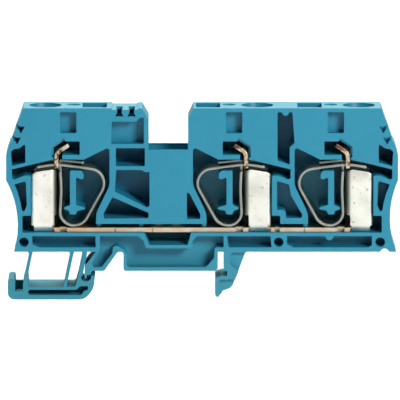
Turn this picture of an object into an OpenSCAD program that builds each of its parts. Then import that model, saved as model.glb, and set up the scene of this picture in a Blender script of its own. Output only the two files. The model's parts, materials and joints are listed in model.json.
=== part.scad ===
// Feed-through terminal block with three tension clamps, snapped on a flat mounting rail.
// X runs along the block, Y through its thickness (the open side faces -Y), Z up from the rail.
// The origin is the middle of the rail's top face, at half the block's thickness.

/* [Rail] */
// Width of the rail over its two flanges
rail_w = 35; // [33:0.5:37]
// Thickness of the rail's flange
rail_t = 1; // [0.8:0.1:1.3]
// Play under the flange, above the two catches
rail_play = 0.3; // [0.15:0.05:0.4]
// Play between the flange's edge and its stop, at each side
edge_play = 0.1; // [0.05:0.05:0.25]

/* [Body] */
// Thickness of the block, along the rail
body_t = 12; // [11.5:0.25:14]
// Height of the top face above the rail
body_top = 42.5; // [41.5:0.25:45]
// Height of the base's underside above the rail
base_z = 5; // [4.6:0.1:5.6]
// Height of the bar channel's floor above the rail
floor_z = 10; // [9.6:0.1:10.8]
// Closed wall behind the chambers
back_wall = 1.2; // [0.8:0.1:1.6]
// Wall between the bar channel and the pockets of the base
web = 0.9; // [0.8:0.05:1.3]
// Distance from an outer tongue to the end face beside it
end_reach = 13; // [12.9:0.1:14.5]
// Depth of the shallow recesses in the open side
shallow = 4; // [2.5:0.25:5]

/* [Clamp positions] */
// Left tongue's distance from the rail's middle
left_reach = 26.5; // [26:0.25:29]
// Middle tongue's distance from the rail's middle
middle_reach = 22.5; // [22.25:0.25:25]
// Distance between the middle and the right tongue
clamp_pitch = 26.25; // [26:0.25:29]

/* [Openings of the top] */
// Diameter of the conductor entries
entry_d = 8.4; // [7:0.1:9]
// Diameter of the entry's throat, above the clamp
throat_d = 5.8; // [5:0.1:6.4]
// Width of the screwdriver slots, along the block
slot_w = 6.3; // [5:0.1:6.8]
// Depth of the screwdriver slots, through the block
slot_t = 8; // [6:0.25:9]
// Diameter of the test holes at the top face
test_d = 3.6; // [2.4:0.1:3.8]
// Left edge of the jumper notch
notch_left = -2.7; // [-3.5:0.1:-2.4]
// Width of the jumper notch
notch_w = 10.2; // [9.8:0.1:10.8]
// Depth of the jumper notch
notch_h = 10.8; // [9:0.1:12]
// Width of the two jumper shafts below the notch
jumper_w = 3.8; // [3.2:0.1:4]

/* [Current path] */
// Thickness of the current bar
bar_t = 1.2; // [0.8:0.1:1.5]
// Width of the current bar
bar_w = 9; // [8:0.1:9.4]
// Thickness of the contact tongues
tongue_t = 1; // [0.8:0.05:1.3]
// Width of the contact tongues inside the spring's window
tongue_w = 6.4; // [5:0.1:6.8]

/* [Clamp springs] */
// Thickness of the spring strip
spring_t = 0.65; // [0.5:0.05:0.75]
// Width of the spring strip
spring_w = 8.8; // [8.6:0.1:9.2]
// Reach of the loop's middle line, from the tongue
loop_reach = 12.5; // [12:0.1:12.8]
// Travel of the free leg when a screwdriver opens the clamp
open_travel = 5; // [3:0.25:5.5]

/* [Conductor sleeves] */
// Reach of the sleeve's outer face, from the tongue
sleeve_reach = 6.15; // [5.6:0.05:6.4]
// Outer width of the sleeve, through the block
sleeve_w = 9.4; // [9.2:0.1:9.8]
// Thickness of the sleeve's sheet
sheet_t = 0.6; // [0.4:0.05:0.8]

/* [Pegs and release foot] */
// Diameter of the peg sockets in the open side
socket_d = 2.5; // [2:0.1:2.8]
// Diameter of the pegs on the closed side
peg_d = 2.3; // [1.8:0.1:2.4]
// Length of the pegs
peg_h = 2; // [1:0.25:3]
// Thickness of the foot's leaning struts
strut_t = 0.75; // [0.6:0.05:0.95]
// Travel of the release foot
foot_travel = 1.05; // [0.8:0.05:1.1]
// Depth of the foot's underside below the rail's top face
foot_drop = 7.5; // [7.2:0.1:8.2]

/* [Hidden] */
$fn = 48;
front = -body_t / 2;
back = body_t / 2;
chamber_y = back - back_wall;
mid_y = (front + chamber_y) / 2;
through = 1;

// Clamps from left to right: place of the tongue, and the side that the sleeve lies on
stem_x = [-left_reach, middle_reach, middle_reach + clamp_pitch];
sleeve_side = [-1, 1, 1];

// Clamp chamber, in mm from the tongue's middle and above the bar channel's floor
part_gap = 0.2;
channel_h = bar_t + 1.1;
spring_bay = loop_reach + spring_t / 2 + 0.9;
sleeve_bay = sleeve_reach + 0.5;
foot_bay = sleeve_bay + 2.2;
leg_bay = 11.5;
bay_neck = spring_bay - 3.5;
step_h = 4.45;
leg_h = 18;
roof_gap = 1.2;
roof_h = leg_h + roof_gap;
ledge_h = roof_h + 1.15;
tail_h = ledge_h + 3.5;
tail_bay = 6.05;
tail_side = tongue_t / 2 + part_gap;
sleeve_top = leg_h - 1.6;
guide_h = sleeve_top - 1.45;
peg_u = 8.45;
peg_v = -2.5;

// Spring: the loop's middle line, and the window that lets the tongue and the upright leg pass
tip_u = 4.8;
leg_drop = 0.8;
end_bar = 0.6;
hook_w = 5.6;
upright_u = -tongue_t / 2 - spring_t / 2 - 0.1;
window_w = tongue_w + 2 * part_gap;
window_out = tip_u - end_bar;
window_in = upright_u - spring_t / 2 - open_travel - 0.3;
upright_h = leg_h - 4.1;

// Rail foot
left_stop = -rail_w / 2 - edge_play;
right_stop = rail_w / 2 + edge_play;
catch_z = -rail_t - rail_play;
notch_right = notch_left + notch_w;
notch_z = body_top - notch_h;
left_bay = stem_x[0] + spring_bay;
middle_bay = stem_x[1] - spring_bay;
right_bay = stem_x[2] - spring_bay;
left_end = stem_x[0] - end_reach;
arm_in = right_stop - 0.9;
seat_right = arm_in - 1.5;
seat_left = left_stop + 8.4;
skin = 1.15;
finger_z = -2;
finger_in = foot_travel + 0.1;
gap_w = 1.5;
seat_drop = 0.4;
groove_t = 6.5;
groove_lean = 28;
rail_pocket_t = 4.5;
base_pocket_t = 5.5;
side_pocket_t = 7;
relief_t = 1.3;
arm_recess = 1.5;
slope_in = 4.4;
slope_h = 9.2;
step_in = 1.2;
slope_run = (slope_in - step_in) / slope_h;
top_v = body_top - floor_z;
base_v = base_z - floor_z;
waist_top = 13.7;
waist_in = -1.85;

// Openings of the top, from the tongue's middle
entry_u = 2.9;
entry_h = 4.5;
funnel_h = 5.5;
slot_u = -9.85;
slot_y = -0.2;
socket_h = 6;
test_u = -4.4;
test_y = 1;
test_sink = 1.6;
probe_d = test_d - 1.4;
jumper_x = [notch_left + 2.6, notch_left + 7.1];
jumper_wall = 1.2;
jumper_mouth = 4.2;
mouth_edge = 0.15;
jumper_hole = 2.2;
collar_d = 3.2;
collar_h = 0.6;

// Release foot
lean = 0.21;
strut_flare = 0.9;
left_strut = left_end + 6.25;
tip_out = left_stop + foot_travel;
finger_top = -2.15;
foot_pocket_t = 5;
beam_z = -4.2;
slot_z = -5.4;
slot_dip = 1.2;
cup_z = catch_z - 1.45;
cup_left = left_stop - 2.55;
post_right = left_end + 5.65;

// Bar and sleeves
bar_end = 5.3;
bar_nick = 1.5;
bar_marks = [left_bay + 1.3, notch_left + 0.9, right_bay + 2.5];
mark = 0.22;
mark_in = 0.6;
stop_half = 0.55;
stop_in = 2.2;
lip_u = -0.25;
neck_w = 3.4;
neck_in = 0.2;
neck_h = sleeve_top + 0.4;
straddle_h = leg_h + 0.6;
head_w = chamber_y - front - 2 * part_gap;
sleeve_in = tongue_t / 2 + 0.1;
sleeve_low = 1.75;
tab_lean = 0.9;
tab_low = 0.55;

// Geometry helpers

function unit(v) = v / norm(v);
function turn(v, a) = [v[0] * cos(a) - v[1] * sin(a), v[0] * sin(a) + v[1] * cos(a)];
function flat(p) = [p[0], p[1]];
function radius(p) = len(p) > 2 ? p[2] : 0;

// Arc that rounds the corner p between its neighbours a and b; a long fillet stops at its wall
function corner(a, p, b, r) =
    let (u = unit(a - p), v = unit(b - p), gap = acos(max(-1, min(1, u * v))))
    r <= 0 || gap > 179 ? [p] :
    let (reach = min(r / tan(gap / 2), 0.49 * norm(a - p), 0.49 * norm(b - p)),
         rr = reach * tan(gap / 2),
         centre = p + unit(u + v) * rr / sin(gap / 2),
         first = p + u * reach - centre,
         sweep = (180 - gap) * (u[0] * v[1] - u[1] * v[0] > 0 ? -1 : 1),
         steps = max(2, ceil(abs(sweep) / 15)))
    [for (i = [0 : steps]) centre + turn(first, sweep * i / steps)];

// Closed outline from corners [x, z] or [x, z, radius]
function rounded(pts) =
    let (n = len(pts))
    [for (i = [0 : n - 1])
        each corner(flat(pts[(i + n - 1) % n]), flat(pts[i]), flat(pts[(i + 1) % n]), radius(pts[i]))];

// Open line from corners, rounded between its two ends
function bent(pts) =
    let (n = len(pts))
    [flat(pts[0]),
     for (i = [1 : n - 2]) each corner(flat(pts[i - 1]), flat(pts[i]), flat(pts[i + 1]), radius(pts[i])),
     flat(pts[n - 1])];

// Direction of a line at its point i
function heading(line, i) = unit(line[min(i + 1, len(line) - 1)] - line[max(i - 1, 0)]);

// Outline of a strip of thickness t about a bent line
function strip(pts, t) =
    let (line = bent(pts), n = len(line),
         side = [for (i = [0 : n - 1]) turn(heading(line, i), 90) * t / 2])
    concat([for (i = [0 : n - 1]) line[i] + side[i]],
           [for (i = [n - 1 : -1 : 0]) line[i] - side[i]]);

// Arc from a to b that bulges to the left of its way by the sagitta s
function bow(a, b, s, steps = 14) =
    let (chord = norm(b - a), r = (chord * chord / 4 + s * s) / (2 * s),
         way = unit(b - a), left = turn(way, 90),
         centre = (a + b) / 2 + left * (s - r), half = asin(chord / 2 / r))
    [for (i = [0 : steps]) centre + turn(left, half - 2 * half * i / steps) * r];

// Extrudes an outline drawn in X and Z from the depth y0 to the depth y1
module slab(y0, y1) {
    translate([0, y1, 0]) rotate([90, 0, 0]) linear_extrude(y1 - y0) children();
}

// Cut into the open side, down to the depth y1
module pocket(pts, y1 = chamber_y) {
    slab(front - through, y1) polygon(rounded(pts));
}

module box(x0, x1, y0, y1, z0, z1) {
    translate([x0, y0, z0]) cube([x1 - x0, y1 - y0, z1 - z0]);
}

// Puts a clamp's own geometry at its place, with the sleeve on its side
module at_clamp(i) {
    translate([stem_x[i], 0, floor_z]) mirror([sleeve_side[i] < 0 ? 1 : 0, 0, 0]) children();
}

// Undercut groove: a mouth, a narrower neck and a broad foot, opening along +Y of the drawing
module dovetail(mouth, neck, foot, depth) {
    polygon([[-mouth / 2, 1], [mouth / 2, 1], [mouth / 2, 0], [neck / 2, -0.25 * depth],
             [neck / 2, -0.45 * depth], [foot / 2, -0.9 * depth], [foot / 2, -depth],
             [-foot / 2, -depth], [-foot / 2, -0.9 * depth], [-neck / 2, -0.45 * depth],
             [-neck / 2, -0.25 * depth], [-mouth / 2, 0]]);
}

// Housing

// Block beside an outer clamp: stepped marker slope, upright end face and a waisted, flared lower part
module end_block(flare) {
    step_v = top_v - slope_h;
    polygon(rounded([[-1, top_v], [end_reach - slope_in, top_v, 0.5], [end_reach - step_in, step_v, 0.2],
                     [end_reach - step_in + 0.35, step_v - 0.3, 0.2], [end_reach, step_v - 3, 0.9],
                     [end_reach, waist_top - 0.1], [-1, waist_top - 0.1]]));
    polygon(concat([[-1, base_v], [-1, waist_top]],
                   bow([end_reach, waist_top], [flare, base_v], waist_in)));
}

module at_clamp_flat(i) {
    translate([stem_x[i], floor_z]) mirror([sleeve_side[i] < 0 ? 1 : 0, 0]) children();
}

// Towers on both sides of the jumper notch, with the lowered marker seat left of it
module towers() {
    polygon(rounded([
        [stem_x[0], base_z], [stem_x[2], base_z], [stem_x[2], body_top],
        [notch_right + 1.4, body_top, 0.3], [notch_right, body_top - 2.9, 0.4],
        [notch_right, notch_z], [notch_left, notch_z], [notch_left, body_top - 3, 0.4],
        [notch_left - 1.7, body_top, 0.4], [notch_left - 2.2, body_top, 0.3],
        [notch_left - 3.2, body_top - seat_drop, 0.2], [left_bay + 0.6, body_top - seat_drop],
        [left_bay + 0.6, body_top], [stem_x[0], body_top]]));
}

// Side towards the rail: a tooth with the left flange's edge stop and a finger that keeps the release foot
// in place, a round-topped gap, and the broad middle seat
module rail_side() {
    polygon(rounded([
        [left_stop + 1.3, base_z + skin], [left_stop + 1.3, base_z, 0.3], [left_stop - 1.3, 1.7, 0.8],
        [left_stop - 1.65, 0.8, 0.5], [left_stop - 1.65, finger_z, 0.25],
        [left_stop - finger_in, finger_z, 0.25], [left_stop - finger_in, -rail_t],
        [left_stop, -rail_t], [left_stop, 0], [left_stop + 3.4, 0, 0.6],
        [seat_left - gap_w, base_z, 0.9], [seat_left, base_z, 0.7],
        [seat_left, 0, 0.6], [seat_right, 0, 0.95], [seat_right, base_z + skin]]));
}

// Fixed catch under the rail's right flange, on its sloping arm
module right_catch() {
    polygon(rounded([
        [arm_in, base_z + skin], [arm_in, 0], [right_stop, 0], [right_stop, catch_z],
        [right_stop - 1.5, catch_z, 0.4], [right_stop - 3.1, catch_z - 0.55, 0.5],
        [right_stop - 3.1, -6.4, 0.5], [right_stop - 2.5, -7, 0.5], [right_stop - 1.4, -6.1, 0.4],
        [right_stop - 1.2, -5.5, 0.3], [right_stop + 0.8, -4.7, 0.6], [right_stop + 1.4, -4.1, 0.5],
        [right_stop + 4.9, base_z], [right_stop + 4.9, base_z + skin]]));
}

module outline() {
    at_clamp_flat(0) end_block(end_reach - 2);
    at_clamp_flat(2) end_block(end_reach - 0.4);
    towers();
    rail_side();
    right_catch();
}

// Chamber of one clamp: spring bay, sleeve bay, the leg's channel, and the tail pocket with its relief
module clamp_chamber() {
    pocket([
        [-bay_neck, 0], [foot_bay, 0, 0.3], [foot_bay, step_h, 0.4], [sleeve_bay, step_h],
        [sleeve_bay, guide_h, 0.5], [sleeve_bay + 1.6, guide_h, 0.5], [leg_bay - 0.6, guide_h - 1.1, 0.3],
        [leg_bay, guide_h - 0.7, 0.2], [leg_bay, roof_h - 2.65, 0.2], [tail_side, roof_h],
        [tail_side, tail_h - 1.75], [-1.95, tail_h], [-tail_bay, tail_h, 0.2], [-tail_bay, ledge_h, 0.2],
        [-1.55, ledge_h, 0.2], [-1.55, roof_h, 0.2], [-7.1, roof_h - 0.1],
        [0.65 - spring_bay, roof_h + 2.9, 0.4], [-spring_bay, roof_h + 2.5, 0.4],
        [-spring_bay, leg_h - 5.7, 4], [-bay_neck, 5, 5]]);
    pocket([[-2.6, tail_h - 0.5], [-2, tail_h + 0.9, 0.3], [tail_side + 0.5, tail_h - 1.35, 0.6],
            [tail_side + 0.5, roof_h + 0.4, 0.3], [0, roof_h + 0.4]], front + relief_t);
}

// Hooked post inside the spring loop: it stops the free leg at the end of its travel
module loop_post() {
    post_in = -3.5;
    post_out = -5.05;
    arm_low = 5.75;
    arm_high = 7.25;
    slab(front, chamber_y + 0.2) polygon(rounded([
        [post_out, arm_low - 0.95, 0.2], [post_in, arm_low - 0.95, 0.2], [post_in + 0.3, arm_low, 0.4],
        [-1.95, arm_low + 0.4, 0.3], [-1.95, arm_high - 0.65, 0.3], [post_in, arm_high, 0.5],
        [post_in, leg_h - 1.8, 0.2], [post_out - 1.95, leg_h - 1.8, 1.5], [post_out - 1.95, leg_h - 4, 0.4],
        [post_out - 1.1, leg_h - 4, 0.4], [post_out, leg_h - 3.4, 0.6], [post_out, arm_high, 0.5],
        [-7.35, arm_high - 0.65, 0.3], [-7.35, arm_low + 0.4, 0.3], [post_out - 0.3, arm_low, 0.4]]));
}

// Round conductor entry, funnelled to its throat
module conductor_entry() {
    translate([entry_u, 0, top_v - entry_h]) cylinder(d = entry_d, h = entry_h + through);
    translate([entry_u, 0, top_v - entry_h - funnel_h])
        cylinder(d1 = throat_d, d2 = entry_d, h = funnel_h);
    translate([entry_u, 0, roof_h - 3]) cylinder(d = throat_d, h = top_v - entry_h - funnel_h - roof_h + 3);
}

// Countersunk test hole, down to the tongue's tail
module test_hole() {
    translate([test_u, test_y, top_v - test_sink]) cylinder(d1 = probe_d, d2 = test_d, h = test_sink);
    translate([test_u, test_y, top_v]) cylinder(d = test_d, h = through);
    translate([test_u, test_y, tail_h - 0.5]) cylinder(d = probe_d, h = top_v - test_sink - tail_h + 0.5);
}

module clamp_openings() {
    conductor_entry();
    test_hole();
    box(slot_u - slot_w / 2, slot_u + slot_w / 2, slot_y - slot_t / 2, slot_y + slot_t / 2,
        roof_h, top_v + through);
    pocket([[-5.2, top_v - 6.5, 0.4], [-1, top_v - 6.5, 0.4], [-1, top_v - 1, 0.4], [-5.2, top_v - 1, 0.4]],
           front + shallow - 1);
    translate([peg_u, front - through, peg_v]) rotate([-90, 0, 0])
        cylinder(d = socket_d, h = socket_h + through);
}

// Hollows and marker grooves of an outer end
module end_pockets() {
    pocket([[8, roof_h - 0.9, 0.2], [leg_bay, roof_h - 1.8, 0.2], [end_reach - 1.25, roof_h + 1.9, 0.3],
            [end_reach - 2, roof_h + 2.65, 0.4], [end_reach - 3.6, roof_h + 2.9, 0.4],
            [end_reach - 4.4, roof_h + 3.7, 0.3], [8, roof_h + 3.7, 0.2]]);
    pocket([[end_reach - 2.1, guide_h - 2.35, 0.3], [7.9, guide_h - 1.4, 0.4], [7.65, 7.2, 1],
            [8.4, 5.4, 0.3], [9, 5.9, 0.4], [9.3, 7.8, 2], [10, 10.4, 2]], front + side_pocket_t);
    for (down = [4.8, 7.7])
        slab(front - through, front + groove_t)
            translate([end_reach - slope_in + down * slope_run, top_v - down])
                rotate(groove_lean - 90) dovetail(1.1, 0.95, 2, 1.9);
}

// Hollows between the left clamp and the jumper notch
module left_tower_pockets() {
    pocket([[left_bay + 0.45, notch_z + 1.5, 0.3], [notch_left - 1.2, notch_z + 1.5, 0.3],
            [notch_left - 1.2, body_top - 2.45, 0.2], [notch_left - 2.2, body_top - 2.45],
            [notch_left - 3.2, body_top - 3.5], [left_bay + 0.6, body_top - 3.5, 0.3]], front + shallow);
    translate([0, 0, floor_z]) {
        pocket([[left_bay + 1.65, 17.4, 0.2], [notch_left - 0.95, 17.4, 0.2],
                [notch_left - 0.95, notch_z - floor_z + 0.4, 0.2],
                [left_bay + 1.65, notch_z - floor_z + 0.4, 0.2]]);
        pocket([[left_bay + 1.75, 16.4, 0.2], [notch_left - 1.6, 16.4, 0.3], [notch_left - 1.1, 15.85, 0.2],
                [notch_left + 0.25, 15.85, 0.2], [notch_left + 0.25, 7, 0.4], [notch_left - 0.4, 6.6, 0.2],
                [left_bay + 1.35, 10.75, 0.3]]);
        pocket([[left_bay + 0.75, 9.3, 0.3], [notch_left, 5.2, 0.4], [notch_left, 3.8, 0.5],
                [left_bay - 1.5, 3.7, 0.4], [left_bay - 1.6, 4.9, 0.3]]);
    }
    for (x = [left_bay + 2.55, left_bay + 5.75])
        slab(front - through, front + groove_t)
            translate([x, body_top - seat_drop]) dovetail(1.7, 1.2, 2, 1.75);
}

// Shafts of the jumpers below their common mouth, which is as wide as the notch, and the hollow beside them
module jumper_shafts() {
    for (x = jumper_x)
        box(x - jumper_w / 2, x + jumper_w / 2, front + jumper_wall, chamber_y,
            floor_z + channel_h / 2, notch_z + through);
    box(notch_left + mouth_edge, notch_right - mouth_edge, front + jumper_wall, chamber_y,
        notch_z - jumper_mouth, notch_z + through);
    translate([0, 0, floor_z])
        pocket([[notch_right - 0.3, 10.4, 0.2], [notch_right + 0.3, 10.4, 0.2],
                [middle_bay + 1.9, 4.9, 0.5], [middle_bay + 1.9, 3.6, 0.3], [notch_right - 0.3, 3.6, 0.3]]);
}

// Hollows between the middle and the right clamp
module right_tower_pockets() {
    near = stem_x[1];
    difference() {
        pocket([[near + 8.1, floor_z + roof_h - 0.4, 0.2], [right_bay - 1.25, floor_z + roof_h - 1.4, 0.2],
                [right_bay - 1.25, floor_z + roof_h + 3.2, 0.3], [right_bay, floor_z + roof_h + 4.2, 0.2],
                [right_bay - 0.6, body_top - 1.05, 0.3], [near + 8.1, body_top - 1.05, 0.3]]);
        translate([right_bay - 2.4, 0, body_top - 1.05]) rotate([90, 0, 0])
            cylinder(r = 0.9, h = 3 * body_t, center = true);
    }
    translate([0, 0, floor_z])
        pocket([[near + 8, guide_h - 1.45, 0.2], [right_bay - 1.4, guide_h - 2.35, 0.7],
                [right_bay - 0.95, 9.8, 2],
                [right_bay + 2, 4.7, 0.4], [right_bay + 1.9, 3.85, 0.3], [near + 10.3, 3.85, 0.2],
                [near + 10.3, 5.3, 0.4], [near + 9.7, 6, 0.4], [near + 8, 6, 0.2]], front + side_pocket_t);
}

// Hollows of the base, between the bar channel and the underside
module base_pockets() {
    low = base_z + skin;
    high = floor_z - web;
    side = socket_d / 2 + 0.9;
    sockets = [for (i = [0 : 2]) stem_x[i] + sleeve_side[i] * peg_u];
    pocket([[sockets[0] + side, low + 0.8, 0.2], [sockets[0] + side + 1.7, low, 0.4],
            [left_stop + 1.2, low, 0.2], [left_stop + 1.2, high, 0.2], [sockets[0] + side, high, 0.2]],
           front + base_pocket_t);
    pocket([[right_stop + 0.4, low, 0.3], [sockets[1] - side + 0.3, low, 0.2],
            [sockets[1] - side, high, 0.2], [right_stop, high, 0.2]], front + base_pocket_t);
    difference() {
        pocket([[sockets[1] + side, low + 0.8, 0.2], [sockets[1] + side + 1.6, low, 0.5],
                [sockets[2] - side - 0.8, low, 0.4], [sockets[2] - side, low + 0.6, 0.2],
                [sockets[2] - side, high, 0.2], [sockets[1] + side, high, 0.2]], front + base_pocket_t);
        translate([(sockets[1] + sockets[2]) / 2, 0, high]) rotate([90, 0, 0])
            cylinder(r = 1.05, h = 3 * body_t, center = true);
    }
    slab(front - through, front + rail_pocket_t) difference() {
        polygon(rounded([
            [left_stop + 2.3, high, 0.2], [left_stop + 2.3, base_z + 0.6, 1], [left_stop + 0.3, 2.1, 0.5],
            [left_stop + 0.55, 0.95, 0.5], [left_stop + 2.7, 0.95, 0.5], [seat_left - 2.9, base_z - 0.5, 1],
            [seat_left - 2.7, base_z + skin + 0.2, 0.6], [seat_left - 1.6, base_z + skin + 0.4, 0.6],
            [seat_left + 0.2, base_z + 0.6, 1], [seat_left + 0.9, base_z - 0.7, 1],
            [seat_left + 0.9, 0.95, 0.8], [seat_right - 3, 0.95, 1.5], [seat_right - 0.95, 3.4, 1.5],
            [seat_right - 0.8, low, 0.4], [arm_in, low, 0.2], [arm_in, high, 0.2]]));
        polygon(rounded(well(web)));
        translate([notch_left - 1.2 - web, high]) well_gusset();
        translate([notch_right + 0.9 + web, high]) mirror([1, 0]) well_gusset();
    }
    pocket(well(0));
    pocket([[right_stop - 2, -2.4, 0.3], [right_stop + 0.1, -2.25, 0.5], [right_stop + 4, -2.25],
            [right_stop + 4, -foot_drop], [right_stop - 2, -foot_drop]], front + arm_recess);
    pocket([[right_stop + 0.75, base_z - 1.1, 0.4], [right_stop + 1.4, base_z - 0.2, 0.4],
            [right_stop + 6, base_z - 0.2], [right_stop + 6, 0], [right_stop + 3, 0],
            [right_stop + 0.75, 1.8, 0.4]],
           front + arm_recess);
    translate([stem_x[2] + end_reach - 3.4, 0, base_z - 0.3]) rotate([90, 0, 0])
        cylinder(r = 1.15, h = 2 * body_t, center = true);
}

// Tapered well under the bar, below the jumper shafts; grown by g for its walls
function well(g) = [
    [notch_left - 1.2 - g, floor_z + 0.3], [notch_right + 0.9 + g, floor_z + 0.3],
    [notch_right - 0.1 + g, floor_z - 3.2 - g, 0.3], [notch_left + 0.2 - g, floor_z - 3.2 - g, 0.3]];

// Small gusset where the well's wall meets the web
module well_gusset() {
    polygon([[-0.45, 0.1], [-0.45, 0], [0.1, -0.85], [0.65, -1.05], [0.65, 0.1]]);
}

// Small feet above the bar that hold it down
module bar_stops() {
    for (x = [left_bay - 2.8, notch_left - 1.9, middle_bay + 2.8, right_bay + 2.8])
        box(x - stop_half, x + stop_half, front + stop_in, chamber_y + 0.1,
            floor_z + bar_t + 0.1, floor_z + channel_h + 0.1);
}

module housing() {
    color("#3c96b4") {
        difference() {
            slab(front, back) outline();
            for (i = [0 : 2]) at_clamp(i) {
                clamp_chamber();
                clamp_openings();
            }
            box(stem_x[0], stem_x[2], front - through, chamber_y, floor_z, floor_z + channel_h);
            for (i = [0, 2]) at_clamp(i) end_pockets();
            left_tower_pockets();
            jumper_shafts();
            right_tower_pockets();
            base_pockets();
        }
        for (i = [0 : 2]) at_clamp(i) {
            loop_post();
            translate([peg_u, back, peg_v]) rotate([-90, 0, 0]) cylinder(d = peg_d, h = peg_h);
        }
        bar_stops();
    }
}

// Release foot

// Middle of a leaning strut at the height z, from the place of its top
function strut_x(top_x, z) = top_x - lean * (base_z - strut_flare - z);

// Thin leaning strut from the base's underside down to the foot
module strut(top_x, z_end, t) {
    flare_z = base_z - strut_flare;
    low_x = strut_x(top_x, z_end);
    polygon([[top_x - 0.62, base_z], [top_x - t / 2, flare_z], [low_x - t / 2, z_end],
             [low_x + t / 2, z_end], [top_x + t / 2, flare_z], [top_x + 0.62, base_z]]);
}

// Foot body: finger post, screwdriver slot, hollow beam and the catch under the rail's left flange
module foot_outline() {
    polygon(rounded([
        [left_end + 0.35, -foot_drop, 1.7], [left_stop - 1.7, -foot_drop, 3], [left_stop + 0.6, -4.9, 4.5],
        [tip_out, catch_z, 0.2], [left_stop, catch_z, 0.15],
        [left_stop, catch_z - 0.7, 0.4], [left_stop - 0.75, cup_z, 0.5], [cup_left + 0.6, cup_z, 0.5],
        [cup_left, cup_z + 0.6, 0.4], [cup_left, catch_z, 0.1], [cup_left - 0.75, catch_z, 0.1],
        [cup_left - 1.6, beam_z, 0.6], [post_right, beam_z, 0.3],
        [strut_x(left_strut, -1.5) + strut_t / 2, -1.5], [strut_x(left_strut, -1.3) - strut_t / 2, -1.3],
        [post_right - 1.35, -3, 0.5], [post_right - 1.4, slot_z, 0.2], [left_end + 2.2, slot_z, 0.2],
        [left_end + 2.2, finger_top, 0.7], [left_end + 0.35, finger_top, 0.8]]));
}

module release_foot() {
    color("#3c96b4") {
        difference() {
            slab(front, back) {
                foot_outline();
                strut(left_strut, -1.7, strut_t);
                strut(left_stop - 5, beam_z - 0.1, strut_t);
                strut(left_stop - 1.65, catch_z - 0.1, strut_t + 0.35);
            }
            pocket([[post_right - 0.1, -6.35, 0.8], [left_stop - 2.6, -6.35, 0.2],
                    [left_stop - 1.8, -5.3, 0.3], [left_stop - 0.8, -5, 0.4],
                    [left_stop - 0.8, -4, 0.3], [left_stop - 2.8, -4, 0.2],
                    [left_stop - 3.8, beam_z - 0.75, 0.2], [post_right - 0.1, beam_z - 0.75, 0.8]],
                   front + foot_pocket_t);
            translate([left_end + 2.2, 0, slot_z]) rotate([90, 0, 90])
                linear_extrude(post_right - left_end - 3.6)
                    polygon([[front - through, 0.5], [front - through, 0], [front, 0],
                             [back, -slot_dip], [back + through, -slot_dip], [back + through, 0.5]]);
        }
        box(left_end + 2, post_right - 1.2, chamber_y, back, slot_z - slot_dip - 0.1, beam_z);
    }
}

// Current path

module current_bar() {
    y0 = mid_y - bar_w / 2;
    y1 = mid_y + bar_w / 2;
    color("#c8a27c") difference() {
        union() {
            box(stem_x[0] - bar_end, stem_x[2] + bar_end, y0, y1, floor_z, floor_z + bar_t);
            for (x = jumper_x)
                translate([x, mid_y, floor_z]) cylinder(d = collar_d, h = bar_t + collar_h);
        }
        for (i = [0 : 2]) at_clamp(i)
            for (gap = [[-2.6, -0.8], [sleeve_in, sleeve_reach + 0.25],
                        [sleeve_reach + 1.3, sleeve_reach + 2.5]]) {
                box(gap[0], gap[1], y0 - through, y0 + bar_nick, -through, bar_t + through);
                box(gap[0], gap[1], y1 - bar_nick, y1 + through, -through, bar_t + through);
            }
        for (x = jumper_x)
            translate([x, mid_y, floor_z - through])
                cylinder(d = jumper_hole, h = bar_t + collar_h + 2 * through);
        for (x = bar_marks)
            box(x, x + mark, y0 - through, y0 + mark_in, floor_z - through, floor_z + bar_t + through);
    }
}

// Upright copper tongue that the conductor is pressed against: a neck inside the sleeve, and a broad head
// that straddles the spring's free leg with two slots; its tail is bent over the spring
module contact_tongue(i) {
    color("#cfa885") at_clamp(i) difference() {
        slab(mid_y - head_w / 2, mid_y + head_w / 2)
            polygon(strip([[0, bar_t], [0, ledge_h + 0.4, 1.8], [-3.1, tail_h - 1.05]], tongue_t));
        box(-tongue_t, -neck_in, -body_t, body_t, 0, neck_h);
        for (side = [-1, 1]) translate([0, mid_y, 0]) mirror([0, side < 0 ? 1 : 0, 0]) {
            box(-tongue_t, tongue_t, neck_w / 2, body_t, 0, neck_h);
            box(-tongue_t, tongue_t, tongue_w / 2, spring_w / 2 + part_gap, 0, straddle_h);
        }
    }
}

// Clamp springs

// Teardrop loop of strip steel; the free leg lies on top, and the upright leg hooks over it
module clamp_spring(i) {
    color("#a9aba4") at_clamp(i) {
        difference() {
            slab(mid_y - spring_w / 2, mid_y + spring_w / 2) polygon(strip([
                [tip_u, leg_h - leg_drop], [0, leg_h, 14], [-loop_reach - 2.3, leg_h - 1.9, 3.8],
                [-6.9, 2.34, 3.6], [-3.54, 1.76, 3.6], [upright_u, 3.95, 3.6],
                [upright_u - 0.4, leg_h - 7.2, 6], [upright_u, upright_h]], spring_t));
            box(window_in, window_out, mid_y - window_w / 2, mid_y + window_w / 2, leg_h - 1.9, leg_h + 1);
        }
        slab(mid_y - hook_w / 2, mid_y + hook_w / 2) polygon(strip([
            [upright_u - 0.01, upright_h - 0.2], [upright_u, leg_h + 0.75, 0.5],
            [-7.3, leg_h + 0.1]], spring_t));
    }
}

// Conductor sleeves

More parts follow.
